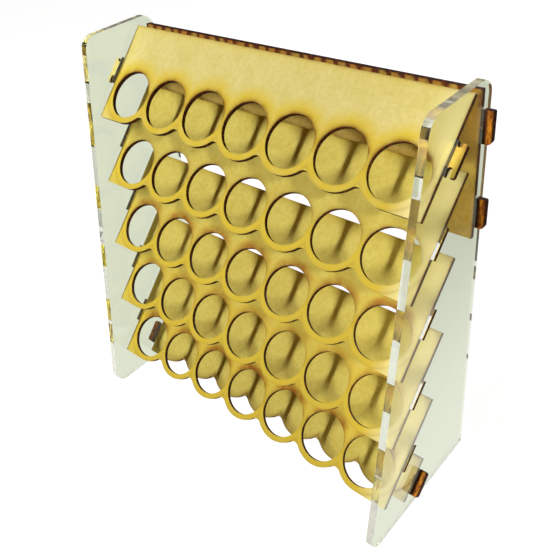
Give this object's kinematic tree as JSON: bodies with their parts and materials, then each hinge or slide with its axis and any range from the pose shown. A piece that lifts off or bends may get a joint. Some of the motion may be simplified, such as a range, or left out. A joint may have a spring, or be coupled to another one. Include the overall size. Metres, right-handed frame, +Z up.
{
  "type": "paint bottle rack",
  "caption": "Desktop rack for small paint bottles: leaning board plates with rows of round holes, slotted between clear side panels, with a rest plate below and an upright back plate.",
  "frame": {"origin": "middle of the footprint, on the surface the rack stands on", "axes": "+X to the right seen from the front, +Y to the back, +Z up; the bottles face -Y and up"},
  "size_m": [0.2838, 0.1162, 0.2854],
  "materials": {
    "clear_acrylic": "polished, clear",
    "fibreboard": "smooth raw board with scorched laser-cut edges"
  },
  "bodies": {
    "root": {"left_side_panel": "clear_acrylic", "right_side_panel": "clear_acrylic", "top_ring_plate": "fibreboard", "ring_plate_2": "fibreboard", "ring_plate_3": "fibreboard", "ring_plate_4": "fibreboard", "ring_plate_5": "fibreboard", "rest_plate": "fibreboard", "back_plate": "fibreboard"}
  },
  "joints": []
}
